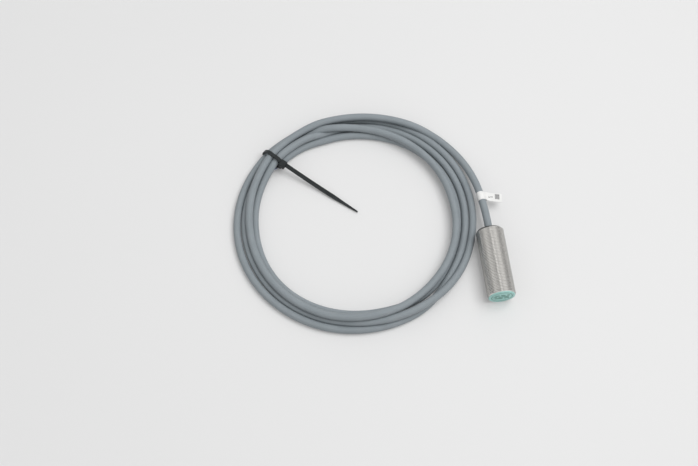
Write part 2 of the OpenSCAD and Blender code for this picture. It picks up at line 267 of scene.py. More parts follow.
# ---------------------------------------- materials
class Nodes:
    """A short way to write the nodes of a new material or of a new world."""

    def __init__(self, name, world=False):
        self.made = (bpy.data.worlds if world else bpy.data.materials).new(name)
        self.made.use_nodes = True
        self.tree = self.made.node_tree
        self.shader = self.tree.nodes["Background" if world else "Principled BSDF"]

    def add(self, kind, inputs=None, **settings):
        node = self.tree.nodes.new("ShaderNode" + kind)
        for key, value in settings.items():
            setattr(node, key, value)
        for key, value in (inputs or {}).items():
            self.put(node.inputs[key], value)
        return node

    def put(self, socket, value):
        if isinstance(value, bpy.types.NodeSocket):
            self.tree.links.new(value, socket)
        else:
            socket.default_value = value

    def set(self, **values):
        for key, value in values.items():
            self.put(self.shader.inputs[key.replace("_", " ")], value)

    def place(self, scale=(1, 1, 1), map_name=None):
        """Object coordinates, or those of a named map, times a scale."""
        if map_name:
            source = self.add("UVMap", uv_map=map_name).outputs[0]
        else:
            source = self.add("TexCoord").outputs["Object"]
        return self.add("Mapping", {"Vector": source, "Scale": scale}).outputs[0]

    def noise(self, place, scale, detail=4.0, rough=0.55):
        made = self.add("TexNoise", {"Vector": place, "Scale": scale, "Detail": detail,
                                     "Roughness": rough})
        return made.outputs["Fac"]

    def cells(self, place, scale, **settings):
        made = self.add("TexVoronoi", {"Vector": place, "Scale": scale}, **settings)
        return made.outputs["Distance"]

    def remap(self, value, low, high, to_low=0.0, to_high=1.0):
        made = self.add("MapRange", {"Value": value, "From Min": low, "From Max": high,
                                     "To Min": to_low, "To Max": to_high})
        return made.outputs["Result"]

    def mix(self, share, a, b):
        made = self.add("Mix", data_type="RGBA")
        self.put(made.inputs[0], share)
        self.put(made.inputs[6], colour(a))
        self.put(made.inputs[7], colour(b))
        return made.outputs[2]

    def maths(self, operation, a, b=0.0):
        made = self.add("Math", operation=operation)
        self.put(made.inputs[0], a)
        self.put(made.inputs[1], b)
        return made.outputs[0]

    def bump(self, height, distance, strength=1.0, under=None):
        made = self.add("Bump", {"Height": height, "Distance": distance, "Strength": strength})
        if under is not None:
            self.put(made.inputs["Normal"], under)
        return made.outputs[0]


def colour(value):
    """A socket as it is, or three numbers with full cover added."""
    return value if isinstance(value, bpy.types.NodeSocket) else (*value[:3], 1)


def jacket_material():
    """Grey-blue PVC: dull, finely grained, with faint drawn streaks and a little handling dirt."""
    n = Nodes("jacket_pvc")
    streaks = n.noise(n.place((60, 2600, 1), "Along"), 1, 3)
    patches = n.noise(n.place(), 90, 3)
    grain = n.noise(n.place(), 3500, 2)
    base = n.mix(n.remap(patches, 0.35, 0.65), (0.203, 0.230, 0.247), (0.225, 0.253, 0.271))
    drawn = n.mix(n.remap(streaks, 0.4, 0.7, 0, 0.35), base, (0.266, 0.291, 0.307))
    specks = n.remap(n.noise(n.place(), 900, 2, 0.7), 0.70, 0.80, 0, 0.5)
    n.set(Base_Color=n.mix(specks, drawn, (0.36, 0.38, 0.39)))
    n.set(Roughness=n.remap(patches, 0.3, 0.7, 0.46, 0.56), Specular_IOR_Level=0.38)
    fine = n.bump(grain, 0.000012, 0.5)
    n.set(Normal=n.bump(streaks, 0.00002, 0.35, fine))
    return n.made


def metal_material():
    """Plated metal: turning marks, polished crests, and dull roots. The roots and the rear bevel
    are painted darker as shade.

    Painted dark reflections: it gets darker where it is seen at a glancing angle, most of all
    on the left side.
    """
    n = Nodes("barrel_plated_metal")
    where = n.add("SeparateXYZ", {"Vector": n.add("TexCoord").outputs["Object"]})
    x, y = where.outputs["X"], where.outputs["Y"]
    up = n.maths("SUBTRACT", where.outputs["Z"], AXIS_Z)
    out = n.maths("SQRT", n.maths("ADD", n.maths("MULTIPLY", x, x), n.maths("MULTIPLY", up, up)))
    crest = n.remap(out, BARREL_R - THREAD_DEPTH + 0.04 * MM, BARREL_R - 0.06 * MM)
    bevel_y = METAL_REAR_Y - REAR_BEVEL
    bevel = n.remap(y, bevel_y - 0.10 * MM, bevel_y + 0.05 * MM)
    clouds = n.noise(n.place(), 220, 4)
    turned = n.noise(n.place((30, 30000, 30)), 1, 2)
    base = n.mix(n.remap(clouds, 0.3, 0.7), (0.86, 0.845, 0.82), (0.92, 0.905, 0.88))
    # Painted shade: the thread's roots are painted darker than its crests.
    painted_root_shade = n.mix(crest, (0.70, 0.685, 0.66), base)
    # Painted dark reflection: the colour darkens where the metal is seen at a glancing angle, most
    # of all on the left side.
    grazing = n.remap(n.add("LayerWeight", {"Blend": 0.5}).outputs["Facing"], 0.25, 0.65)
    side = n.remap(x, -7.0 * MM, -4.5 * MM)
    edge = n.mix(side, (0.27, 0.27, 0.26), (0.42, 0.415, 0.40))
    plated_with_painted_edge_shade = n.mix(grazing, painted_root_shade, edge)
    # Painted shade: the rear bevel is painted dark, darkest on its left side.
    rear = n.mix(n.remap(x, -3 * MM, 5 * MM), (0.15, 0.15, 0.145), (0.42, 0.42, 0.41))
    n.set(Base_Color=n.mix(bevel, plated_with_painted_edge_shade, rear))
    rough = n.remap(clouds, 0.3, 0.7, 0.16, 0.24)
    dull = n.maths("MULTIPLY", n.maths("SUBTRACT", 1.0, crest), 0.16)
    n.set(Roughness=n.maths("ADD", rough, dull), Metallic=1.0)
    n.set(Normal=n.bump(turned, 0.000003, 0.35))
    return n.made


def plastic_material(name, low, high, rough=0.4, grain=0.00001, grain_scale=2500, **more):
    """A moulded plastic: two near colours in soft clouds, a fine grain and uneven gloss."""
    n = Nodes(name)
    clouds = n.noise(n.place(), 260, 3)
    fine = n.noise(n.place(), grain_scale, 3)
    n.set(Base_Color=n.mix(n.remap(clouds, 0.35, 0.65), low, high))
    n.set(Roughness=n.remap(fine, 0.3, 0.7, rough - 0.06, rough + 0.06))
    n.set(Normal=n.bump(fine, grain, 0.6))
    n.set(**more)
    return n.made


def wire_material(name, low, high, metallic=1.0, rough=0.25, lay=(4000, 4000, 300)):
    """Drawn metal or enamel with marks along its length."""
    n = Nodes(name)
    marks = n.noise(n.place(lay), 1, 3)
    n.set(Base_Color=n.mix(n.remap(marks, 0.35, 0.65), low, high))
    n.set(Metallic=metallic, Roughness=n.remap(marks, 0.3, 0.7, rough - 0.06, rough + 0.08))
    n.set(Normal=n.bump(marks, 0.000006, 0.5))
    return n.made


def ceramic_material(name, low, high, rough=0.6):
    """A fired or sintered body with open pores."""
    n = Nodes(name)
    grain = n.noise(n.place(), 5000, 5, 0.7)
    pores = n.cells(n.place(), 3800)
    n.set(Base_Color=n.mix(n.remap(grain, 0.3, 0.7), low, high))
    n.set(Roughness=n.remap(grain, 0.3, 0.7, rough - 0.08, rough + 0.08))
    n.set(Normal=n.bump(n.remap(pores, 0.0, 0.35), 0.00002, 0.5))
    return n.made


def board_material():
    """Green solder mask over glass cloth, with the tracks just showing under it."""
    n = Nodes("board_solder_mask")
    threads = [n.add("TexWave", {"Vector": n.place(), "Scale": 400.0, "Distortion": 0.4},
                     bands_direction=way).outputs["Fac"] for way in ("X", "Y")]
    weave = n.maths("MULTIPLY", *threads)
    cells = n.cells(n.place((1, 0.35, 1)), 900, distance="CHEBYCHEV")
    tracks = n.remap(cells, 0.28, 0.30)
    n.set(Base_Color=n.mix(tracks, (0.012, 0.13, 0.055), (0.02, 0.22, 0.09)))
    n.set(Roughness=n.remap(weave, 0, 1, 0.28, 0.4), Coat_Weight=0.3)
    n.set(Normal=n.bump(weave, 0.000008, 0.5, n.bump(tracks, 0.00003, 0.7)))
    return n.made


def resin_material():
    """Cast resin with small bubbles and a wavy top."""
    n = Nodes("cast_resin")
    waves = n.noise(n.place(), 300, 2)
    bubbles = n.cells(n.place(), 1500)
    n.set(Base_Color=n.mix(n.remap(waves, 0.3, 0.7), (0.30, 0.22, 0.08), (0.42, 0.32, 0.14)))
    n.set(Roughness=n.remap(waves, 0.3, 0.7, 0.12, 0.3), Coat_Weight=0.4)
    n.set(Normal=n.bump(n.remap(bubbles, 0.0, 0.15), 0.00003, 0.6, n.bump(waves, 0.0001, 0.4)))
    return n.made


def paper_material():
    """White synthetic label stock with a faint fibre and a soft sheen."""
    n = Nodes("label_stock")
    fibre = n.noise(n.place((1, 0.4, 1)), 5200, 5, 0.7)
    clouds = n.noise(n.place(), 300, 2)
    n.set(Base_Color=n.mix(n.remap(clouds, 0.3, 0.7), (0.67, 0.67, 0.66), (0.73, 0.73, 0.72)))
    n.set(Roughness=n.remap(fibre, 0.3, 0.7, 0.42, 0.58))
    n.set(Normal=n.bump(fibre, 0.000008, 0.6))
    return n.made


def ink_material(name, low, high):
    """A print with a slightly broken edge of tone."""
    n = Nodes(name)
    fine = n.noise(n.place(), 6000, 3, 0.7)
    n.set(Base_Color=n.mix(n.remap(fine, 0.35, 0.65), low, high), Roughness=0.5)
    n.set(Normal=n.bump(fine, 0.000005, 0.5))
    return n.made


def cap_material():
    """Teal thermoplastic, satin, with moulding flow and faint circular scuffs."""
    n = Nodes("cap_teal_plastic")
    flow = n.noise(n.place((1, 1, 0.5)), 240, 4)
    fine = n.noise(n.place(), 4200, 3)
    base = n.mix(n.remap(flow, 0.3, 0.7), (0.300, 0.560, 0.520), (0.345, 0.610, 0.570))
    scuffs = n.remap(n.noise(n.place((700, 40, 4000)), 1, 2), 0.66, 0.72, 0, 0.35)
    n.set(Base_Color=n.mix(scuffs, base, (0.46, 0.70, 0.66)))
    n.set(Roughness=n.remap(flow, 0.3, 0.7, 0.34, 0.44), Subsurface_Weight=0.08)
    n.set(Subsurface_Radius=(0.4, 0.8, 0.7), Subsurface_Scale=0.0008)
    n.set(Normal=n.bump(fine, 0.00001, 0.5))
    return n.made


JACKET = jacket_material()
METAL = metal_material()
CAP = cap_material()
PRINT = ink_material("face_print", (0.045, 0.150, 0.115), (0.065, 0.185, 0.145))
NYLON = plastic_material("tie_nylon", (0.014, 0.017, 0.018), (0.022, 0.026, 0.027), 0.5, 0.000008,
                         Specular_IOR_Level=0.3)
PLUG = plastic_material("plug_plastic", (0.020, 0.022, 0.024), (0.030, 0.032, 0.034), 0.5)
RUBBER = plastic_material("grommet_rubber", (0.022, 0.025, 0.028), (0.034, 0.038, 0.042), 0.62,
                          0.00002)
PAPER = paper_material()
INK = ink_material("label_ink", (0.035, 0.035, 0.037), (0.075, 0.075, 0.078))
BROWN = plastic_material("core_brown_pvc", (0.055, 0.022, 0.010), (0.075, 0.031, 0.014), 0.36)
BLUE = plastic_material("core_blue_pvc", (0.010, 0.045, 0.21), (0.014, 0.060, 0.27), 0.36)
BLACK = plastic_material("core_black_pvc", (0.010, 0.010, 0.011), (0.018, 0.018, 0.019), 0.36)
TINNED = wire_material("tinned_copper", (0.52, 0.50, 0.47), (0.70, 0.69, 0.67), 1.0, 0.3)


# ---------------------------------------- cable
# Route from the barrel to the coil, as in the part's source
LEAD_ROUTE = [
    (0, 0.0233, 0.009), (0, 0.030, 0.009), (-0.0002, 0.037, 0.0089), (-0.0007, 0.044, 0.0086),
    (-0.0016, 0.054, 0.0077), (-0.0036, 0.064, 0.0064), (-0.0073, 0.0753, 0.0046),
    (-0.0135, 0.0868, 0.0032), (-0.0228, 0.098, 0.0032), (-0.035, 0.1068, 0.0058),
]
# How far each turn's middle lies from the coil's middle, in mm, every 20 degrees from +X
TURN_RADII = [
    [85.1, 83.4, 81.4, 77.1, 74.5, 73.2, 72.1, 70.8, 69.7,
     69.0, 69.5, 70.3, 70.8, 71.3, 70.9, 68.9, 67.9, 67.0],
    [65.5, 65.2, 65.0, 64.9, 66.0, 67.8, 69.7, 70.5, 71.6,
     72.2, 72.5, 72.8, 73.0, 73.3, 74.3, 76.2, 77.2, 77.2],
    [77.9, 78.0, 77.2, 75.8, 74.6, 74.2, 74.2, 75.3, 76.4,
     77.5, 78.0, 78.0, 77.5, 76.7, 76.7, 76.5, 72.6, 72.3],
    [72.7, 72.9, 72.2, 71.3, 68.9, 67.2, 66.8, 66.4, 66.0,
     65.5, 66.4, 67.1, 67.0, 66.8, 67.2, 69.6, 68.9, 67.6],
    [67.6, 67.5, 66.6, 64.6, 62.9, 62.6, 64.0, 65.0, 65.2],
]
# The turns' numbers in the order of laying; two of them change places at the switch
LAID_BEFORE, LAID_AFTER = [4, 2, 3, 1, 0], [4, 2, 1, 3, 0]
# Degrees: the switch, the steps of the lists above and of the settling, the coil and the tie
SWITCH_ANGLE = 103
KNOT_STEP, FINE_STEP = 20, 3
COIL_START, COIL_END = 57, 4 * 360 + 136
TIE_ANGLE = 134.5
# The coil over the tie's strap: mm of lift, degrees that stay level, degrees down to the ground
TIE_LIFT, TIE_LEVEL, TIE_SLOPE = 1.0, 2, 9
SETTLE_ROUNDS = 260
# Distances between a line's points, in metres
CABLE_STEP, STRAP_STEP, CORE_STEP = 0.0024, 0.00014, 0.0006


def turn_radius(angle):
    """The coil's radius in mm at an angle that keeps growing from turn to turn."""
    knots = [r for turn in TURN_RADII for r in turn]
    at = min(angle / KNOT_STEP, len(knots) - 1.001)
    i = int(at)
    return between(*(knots[min(max(i + k, 0), len(knots) - 1)] for k in (-1, 0, 1, 2)), at - i)


def ground_at(angle):
    """Height of what the coil lies on, in mm: the ground, with the tie's strap across it."""
    away = abs((angle - TIE_ANGLE + 180) % 360 - 180)
    return TIE_LIFT * max(0.0, 1 - max(0.0, away - TIE_LEVEL) / TIE_SLOPE) ** 2


def laid(angle):
    """The place of an angle's turn in the order of laying."""
    order = LAID_BEFORE if angle % 360 < SWITCH_ANGLE else LAID_AFTER
    return order.index(int(angle // 360))


def settled_coil():
    """Lets the turns settle on each other, and returns angles, radii and heights in mm."""
    d = CABLE_D / MM
    angles = np.arange(COIL_START, COIL_END + 0.1, FINE_STEP)
    target = np.array([turn_radius(a) for a in angles])
    ground = np.array([ground_at(a) for a in angles]) + d / 2
    per_turn = 360 // FINE_STEP
    height = np.full(len(angles), -1.0)
    for i in sorted(range(len(angles)), key=lambda k: laid(angles[k])):
        height[i] = ground[i]
        for j in range(i % per_turn, len(angles), per_turn):
            gap = target[j] - target[i]
            if j != i and height[j] > 0 and abs(gap) < d:
                height[i] = max(height[i], height[j] + math.sqrt(d * d - gap * gap))
    radius = target.copy()
    for _ in range(SETTLE_ROUNDS):
        # The cable's stiffness evens the line out, and its weight lets it sink
        height[1:-1] = 0.5 * height[1:-1] + 0.25 * (height[:-2] + height[2:])
        radius[1:-1] = 0.6 * radius[1:-1] + 0.2 * (radius[:-2] + radius[2:])
        radius += 0.15 * (target - radius)
        height -= 0.03
        # Turns that are closer than the cable is thick push each other apart
        for _ in range(3):
            for apart in range(per_turn, len(angles), per_turn):
                dr = radius[apart:] - radius[:-apart]
                dz = height[apart:] - height[:-apart]
                far = np.maximum(np.hypot(dr, dz), 0.01)
                push = np.maximum(d - far, 0) / far / 2
                radius[apart:] += 0.5 * push * dr
                radius[:-apart] -= 0.5 * push * dr
                height[apart:] += push * dz
                height[:-apart] -= push * dz
            height = np.maximum(height, ground)
    return angles, radius, height


def polar(angle, radius, height):
    """A point in metres from an angle in degrees and mm about the coil's middle."""
    turn = math.radians(angle)
    return np.array([COIL_X + radius * MM * math.cos(turn), COIL_Y + radius * MM * math.sin(turn),
                     height * MM])


def cable_path():
    """The cable's middle line, from inside the barrel to its far end."""
    angles, radius, height = settled_coil()
    coil = [polar(a, r, z) for a, r, z in zip(angles, radius, height)]
    whole = np.concatenate([catmull(LEAD_ROUTE, 4), coil])
    return eased(evenly(whole, CABLE_STEP), 6)


CABLE_PATH = cable_path()
cable = tube("cable", CABLE_PATH, CABLE_R, 24, JACKET, end_dish=0.0002)
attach(cable, "root")
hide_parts("cable_lead", "cable_coil")


# ---------------------------------------- barrel
def bevelled(y):
    """The largest radius that the bevels at both ends allow."""
    front = BARREL_R - max(0.0, FRONT_BEVEL - (y - METAL_FRONT_Y))
    rear = BARREL_R - max(0.0, REAR_BEVEL - (METAL_REAR_Y - y))
    return min(front, rear)


def make_barrel():
    """A right-hand thread swept along its helix, cut off square at both ends and closed."""
    turns = round((METAL_REAR_Y - METAL_FRONT_Y) / THREAD_PITCH) + 3
    start = METAL_FRONT_Y - 1.5 * THREAD_PITCH
    rows = []
    for turn in range(turns):
        for share, depth in THREAD_PROFILE:
            rows.append((turn + share, depth))
    points = []
    for along, depth in rows:
        for k in range(THREAD_SIDES + 1):
            turn = 2 * math.pi * k / THREAD_SIDES
            y = start + (along + k / THREAD_SIDES) * THREAD_PITCH
            r = min(BARREL_R - depth * THREAD_DEPTH, bevelled(y))
            points.append((r * math.sin(turn), y, AXIS_Z + r * math.cos(turn)))
    faces = loop_faces(len(rows), THREAD_SIDES + 1, closed_columns=False)
    made = new_object("threaded_barrel_helix", points, faces, METAL)
    work = bmesh.new()
    work.from_mesh(made.data)
    bmesh.ops.remove_doubles(work, verts=work.verts, dist=1e-7)
    for y, outward in ((METAL_FRONT_Y, -1), (METAL_REAR_Y, 1)):
        everything = work.verts[:] + work.edges[:] + work.faces[:]
        cut = bmesh.ops.bisect_plane(work, geom=everything, dist=1e-8, plane_co=(0, y, 0),
                                     plane_no=(0, outward, 0), clear_outer=True)
        edges = [e for e in cut["geom_cut"] if isinstance(e, bmesh.types.BMEdge)]
        rim = bmesh.ops.extrude_edge_only(work, edges=edges)
        for v in (v for v in rim["geom"] if isinstance(v, bmesh.types.BMVert)):
            out = Vector((v.co.x, 0, v.co.z - AXIS_Z)).normalized()
            v.co = Vector((0, v.co.y, AXIS_Z)) + out * BORE_R
    bmesh.ops.remove_doubles(work, verts=work.verts, dist=1e-7)
    rims = [e for e in work.edges if e.is_boundary]
    bmesh.ops.bridge_loops(work, edges=rims)
    put_back(work, made.data)
    sharpen(made, 38)
    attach(made, "root")
    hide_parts("threaded_barrel")


make_barrel()


# ---------------------------------------- sensing face
CAP_EDGE, CAP_FACE_T = 0.35 * MM, 1.2 * MM
# The lathe's outlines start at a hub, which is too small to see
HUB_R, SKIRT_R = 0.02 * MM, 6.7 * MM
CAP_GROOVE_R = 7.36 * MM
# The print: how deep it starts and how thick it is, its bars and its ring
PRINT_Y, PRINT_T = FRONT_Y + 0.005 * MM, 0.02 * MM
BAR_HEIGHT = 1.3 * MM
RING_INNER, RING_OUTER, RING_SIDES = 6.35 * MM, 6.75 * MM, 72
# Rows of bars in mm: height of the row above the axis, then from and to of each bar
BAR_ROWS = [(2.3, [(-4.6, -1.7), (-0.9, 2.0), (2.8, 4.7)]), (0.0, [(-5.6, -3.1), (-2.3, 4.4)]),
            (-2.3, [(-4.4, 0.8), (1.6, 4.9)])]


def make_cap():
    """The cap: its rim is rounded and a shallow groove runs round the face."""
    rim_r, rim_back, skirt_back = (CAP_HI[0] - CAP_LO[0]) / 2, FRONT_Y + 0.5 * MM, CAP_HI[1]
    face = [(r, FRONT_Y) for r in (HUB_R, 2.5 * MM, 5 * MM)]
    face += groove(CAP_GROOVE_R, FRONT_Y, 0.05 * MM, 0.11 * MM, 0.04 * MM)
    arc = [(rim_r - CAP_EDGE * (1 - math.sin(t)), FRONT_Y + CAP_EDGE * (1 - math.cos(t)))
           for t in np.radians(np.linspace(0, 90, 7))]
    inner_y = FRONT_Y + CAP_FACE_T
    inside = [(rim_r, rim_back), (BORE_R, rim_back), (BORE_R, skirt_back), (SKIRT_R, skirt_back),
              (SKIRT_R, inner_y), (HUB_R, inner_y)]
    made = lathe("sensing_cap_moulded", face + arc + inside, 96, CAP)
    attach(made, "root")
    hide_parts("sensing_cap")


def plate(points, faces, x0, x1, z0, z1, y, depth):
    """Adds a thin plate with cut corners that stands off the face."""
    cut = 0.22 * min(x1 - x0, z1 - z0)
    outline = [(x0 + cut, z0), (x1 - cut, z0), (x1, z0 + cut), (x1, z1 - cut),
               (x1 - cut, z1), (x0 + cut, z1), (x0, z1 - cut), (x0, z0 + cut)]
    first = len(points)
    for level in (y, y - depth):
        points.extend((x, level, z) for x, z in outline)
    n = len(outline)
    faces.append(tuple(first + k for k in range(n)))
    faces.append(tuple(first + n + k for k in range(n)))
    for k in range(n):
        j = (k + 1) % n
        faces.append((first + k, first + j, first + n + j, first + n + k))


def make_face_print():
    """A generic print: a ring that marks the sensing area, with plain bars of several lengths."""
    points, faces = [], []
    for row_z, bars in BAR_ROWS:
        low = AXIS_Z + row_z * MM - BAR_HEIGHT / 2
        for x0, x1 in bars:
            plate(points, faces, x0 * MM, x1 * MM, low, low + BAR_HEIGHT, PRINT_Y, PRINT_T)
    first = len(points)
    for r, y in ((RING_INNER, PRINT_Y), (RING_INNER, PRINT_Y - PRINT_T),
                 (RING_OUTER, PRINT_Y - PRINT_T), (RING_OUTER, PRINT_Y)):
        points.extend(circle(r, y, RING_SIDES))
    ring_faces = loop_faces(4, RING_SIDES, closed_rows=True)
    faces.extend(tuple(first + v for v in face) for face in ring_faces)
    made = new_object("face_print", points, faces, PRINT, smooth=False)
    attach(made, "root")


make_cap()
make_face_print()


# ---------------------------------------- rear end
PLUG_Y = METAL_REAR_Y - 0.5 * MM
PLUG_T, PLUG_HOLE_R, PLUG_GROOVE_R = 4.5 * MM, 3.7 * MM, 6.775 * MM
GROMMET_R, GROMMET_HOLE_R = 3.65 * MM, CABLE_R + 0.05 * MM
SOFT_EDGE = 0.12 * MM


def make_rear_end():
    """The plug with a groove round its face, and the grommet with a sloping lip."""
    plug_inner = PLUG_Y - PLUG_T
    outline = [(PLUG_HOLE_R, plug_inner), (BORE_R, plug_inner), (BORE_R, PLUG_Y)]
    outline += reversed(groove(PLUG_GROOVE_R, PLUG_Y, -0.12 * MM, 0.325 * MM, 0.175 * MM))
    outline += [(PLUG_HOLE_R, PLUG_Y)]
    plug = lathe("rear_plug_moulded", rounded(outline, SOFT_EDGE), 96, PLUG)
    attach(plug, "root")
    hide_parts("rear_plug")
    lip = METAL_REAR_Y
    outline = [(GROMMET_HOLE_R, GROMMET_FRONT_Y), (GROMMET_R, GROMMET_FRONT_Y),
               (GROMMET_R, PLUG_Y), (4.4 * MM, PLUG_Y), (4.3 * MM, lip - 0.05 * MM),
               (2.75 * MM, lip), (GROMMET_HOLE_R, lip - 0.12 * MM)]
    grommet = lathe("cable_grommet_moulded", rounded(outline, SOFT_EDGE), 96, RUBBER)
    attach(grommet, "root")
    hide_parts("cable_grommet")


make_rear_end()


# ---------------------------------------- cable tie
STRAP_W, TAIL_W, TAIL_TIP_W, STRAP_T = 2.6 * MM, 2.8 * MM, 0.8 * MM, 1.0 * MM
# The strap's section: shares of its half width and of its thickness. Ribs stand in the recess
RECESS = 0.3
STRAP_SECTION = [(-1, -0.32), (-0.86, -0.5), (0.86, -0.5), (1, -0.32), (1, 0.32), (0.86, 0.5),
                 (0.62, 0.5), (0.55, RECESS), (0, RECESS), (-0.55, RECESS), (-0.62, 0.5),
                 (-0.86, 0.5), (-1, 0.32)]
RIB_PITCH, RIB_HEIGHT = 0.95 * MM, 0.2
# The strap's middle line round the bundle, as (distance from the coil's middle, height) in mm
TIE_LOOP = [(62.4, 8.9), (63.6, 10.1), (65.4, 10.85), (67.2, 11.0), (69.3, 10.65), (71.6, 10.9),
            (73.6, 10.4), (75.6, 8.6), (77.2, 6.2), (77.9, 3.6), (77.1, 1.4), (75.0, 0.52),
            (70.0, 0.5), (65.0, 0.52), (62.9, 1.3), (61.9, 3.4), (61.6, 5.6), (61.2, 7.1),
            (60.4, 7.9)]
# The loose tail: its ends and how far its middle hangs, in mm, and where it narrows along it
TAIL_START, TAIL_END, TAIL_SAG = (-125.9, 87.6, 7.6), (-82.3, 50.6, 1.0), (0, 0.5, -2.0)
TAPER_FROM, TIP_FROM = 0.66, 0.985
HEAD_SIZE, HEAD_BEVEL = Vector((4.2, 4.8, 3.8)) * MM, 0.45 * MM
HEAD_BACK, HEAD_SHIFT = 1.7 * MM, Vector((-0.6, -0.35, 0)) * MM
# Steps of the head's windows in mm: how far each goes in from the one before, and how deep
WINDOW_STEPS = [(0.55, 0.0), (0.10, -0.12), (0.02, -0.9)]


def strap(name, path, across, width_at, ribs_from, ribs_to):
    """A nylon strap along a path: flat edges, and cross ribs in the middle of its width."""
    path = evenly(path, STRAP_STEP)
    rows = len(path)
    ahead = np.gradient(path, axis=0)
    ahead /= np.linalg.norm(ahead, axis=1)[:, None]
    hint = np.array(across, float)
    side = np.tile(hint / np.linalg.norm(hint), (rows, 1))
    side -= (side * ahead).sum(1)[:, None] * ahead
    side /= np.linalg.norm(side, axis=1)[:, None]
    top = np.cross(side, ahead)
    length = lengths(path)[-1]
    points = []
    for i, share in enumerate(np.linspace(0, 1, rows)):
        half_width = width_at(share) / 2
        phase = (share * length / RIB_PITCH) % 1
        rib = RIB_HEIGHT * (1 - abs(2 * phase - 1)) ** 0.6 if ribs_from < share < ribs_to else 0.0
        for a, b in STRAP_SECTION:
            lift = b + (rib if b == RECESS else 0.0)
            points.append(path[i] + side[i] * a * half_width + top[i] * lift * STRAP_T)
    n = len(STRAP_SECTION)
    ends = [tuple(range(n)), tuple((rows - 1) * n + k for k in range(n))]
    return sharpen(new_object(name, points, loop_faces(rows, n) + ends, NYLON), 32)


def tail_width(t):
    """The tail's width: even at first, then tapered, with a round tip."""
    taper = max(0.0, (t - TAPER_FROM) / (1 - TAPER_FROM))
    tip = max(0.0, (t - TIP_FROM) / (1 - TIP_FROM))
    return (TAIL_W - (TAIL_W - TAIL_TIP_W) * taper) * math.sqrt(max(0.04, 1 - tip ** 2))


def make_tie():
    """The tie in three pieces: the band round the bundle, the loose tail and the head."""
    radial = Vector((math.cos(math.radians(TIE_ANGLE)), math.sin(math.radians(TIE_ANGLE)), 0))
    tangent = Vector((-radial.y, radial.x, 0))
    loop = [Vector((COIL_X, COIL_Y, 0)) + radial * r * MM + Vector((0, 0, z * MM))
            for r, z in TIE_LOOP]
    band = strap("tie_band", catmull(loop, 8), tangent, lambda t: STRAP_W, 0.55, 0.98)
    a, b, droop = (np.array(place) * MM for place in (TAIL_START, TAIL_END, TAIL_SAG))
    line = [a + (b - a) * t + droop * math.sin(math.pi * t) for t in np.linspace(0, 1, 14)]
    across = np.cross(b - a, (0, 0, 1))
    tail = strap("tie_tail", catmull(line, 6), across, tail_width, 0.02, 0.86)
    head = make_tie_head(a, (b - a) / np.linalg.norm(b - a))
    for piece in (band, tail, head):
        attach(piece, "root")
    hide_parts("cable_tie")
    return band, tail, head


def make_tie_head(tail_from, out):
    """The head: a bevelled block with a window that the tail comes out of."""
    work = bmesh.new()
    bmesh.ops.create_cube(work, size=1)
    bmesh.ops.scale(work, vec=HEAD_SIZE, verts=work.verts)
    bmesh.ops.bevel(work, geom=work.edges[:], offset=HEAD_BEVEL, segments=3, profile=0.6,
                    affect="EDGES")
    for direction in (-1, 1):
        face = max(work.faces, key=lambda f: f.normal.x * direction * f.calc_area())
        for inwards, depth in WINDOW_STEPS:
            bmesh.ops.inset_region(work, faces=[face], thickness=inwards * MM, depth=depth * MM)
    mesh = bpy.data.meshes.new("tie_head")
    put_back(work, mesh)
    mesh.materials.append(NYLON)
    head = bpy.data.objects.new("tie_head", mesh)
    bpy.context.scene.collection.objects.link(head)
    x_axis = Vector(out)
    y_axis = Vector((0, 0, 1)).cross(x_axis).normalized()
    z_axis = x_axis.cross(y_axis)
    middle = Vector(tail_from) - x_axis * HEAD_BACK + HEAD_SHIFT
    turn = Matrix((x_axis, y_axis, z_axis)).transposed().to_4x4()
    mesh.transform(Matrix.Translation(middle) @ turn)
    return sharpen(head, 40)


tie_pieces = make_tie()


# ---------------------------------------- label
LABEL_AT = Vector((-0.98, 48.0, 8.27)) * MM
LABEL_W, FLAG_L = 6.0 * MM, 13.7 * MM
WRAP_R = CABLE_R + 0.1 * MM
STOCK_T = 0.12 * MM
FLAG_SKEW, FLAG_DROOP, FLAG_WAVE = math.radians(-14), 0.9 * MM, 0.25 * MM
# Out from the cable: where the strip's halves meet, and the fillet from there down to the wrap
FLAG_FROM = 4.6 * MM
FLAG_FILLET = [(4.0 * MM, 0.20 * MM), (3.5 * MM, 0.45 * MM), (3.05 * MM, 0.9 * MM)]
# The marks in mm, out along the flag and across it: short strokes, and a square of bars
STROKES = [(3.9, 4.5), (4.8, 5.7), (6.0, 6.4), (6.7, 7.6)]
STROKE_WIDTH, STROKE_SLOPE, STROKES_FROM = 0.6, 0.35, -2.445
SQUARE_OUT, SQUARE_ACROSS, SQUARE_SIDE = (9.1, 12.1), (-1.1, 2.4), 0.5
BARS, BAR_PITCH, BAR_WIDTH = 6, 0.62, 0.40


def label_frame():
    """Where the label sits: its middle, and the directions along the cable, out and up."""
    near = int(np.argmin(np.linalg.norm(CABLE_PATH - np.array(LABEL_AT), axis=1)))
    ahead = Vector(CABLE_PATH[near + 1] - CABLE_PATH[near - 1]).normalized()
    side = ahead.cross(Vector((0, 0, 1))).normalized()
    middle = Vector(CABLE_PATH[near])
    middle += ahead * (LABEL_AT - middle).dot(ahead)
    return middle, ahead, side, side.cross(ahead)


def placed(axes, place):
    """A point of the label's frame, given as (out, along the cable, up), in the scene."""
    middle, ahead, side, top = axes
    return middle + side * place[0] + ahead * place[1] + top * place[2]


def flag_point(out, across, lift):
    """A point of the flag in the label's frame: out from the cable, across its width."""
    share = max(0.0, out - WRAP_R) / (FLAG_L - WRAP_R)
    turn = FLAG_SKEW * min(1.0, share * 2.5)
    x = out * math.cos(turn) - across * math.sin(turn)
    y = out * math.sin(turn) + across * math.cos(turn)
    wave = FLAG_WAVE * share * math.sin(3 * across / LABEL_W + 0.6)
    return x, y, lift - FLAG_DROOP * share ** 1.6 + wave


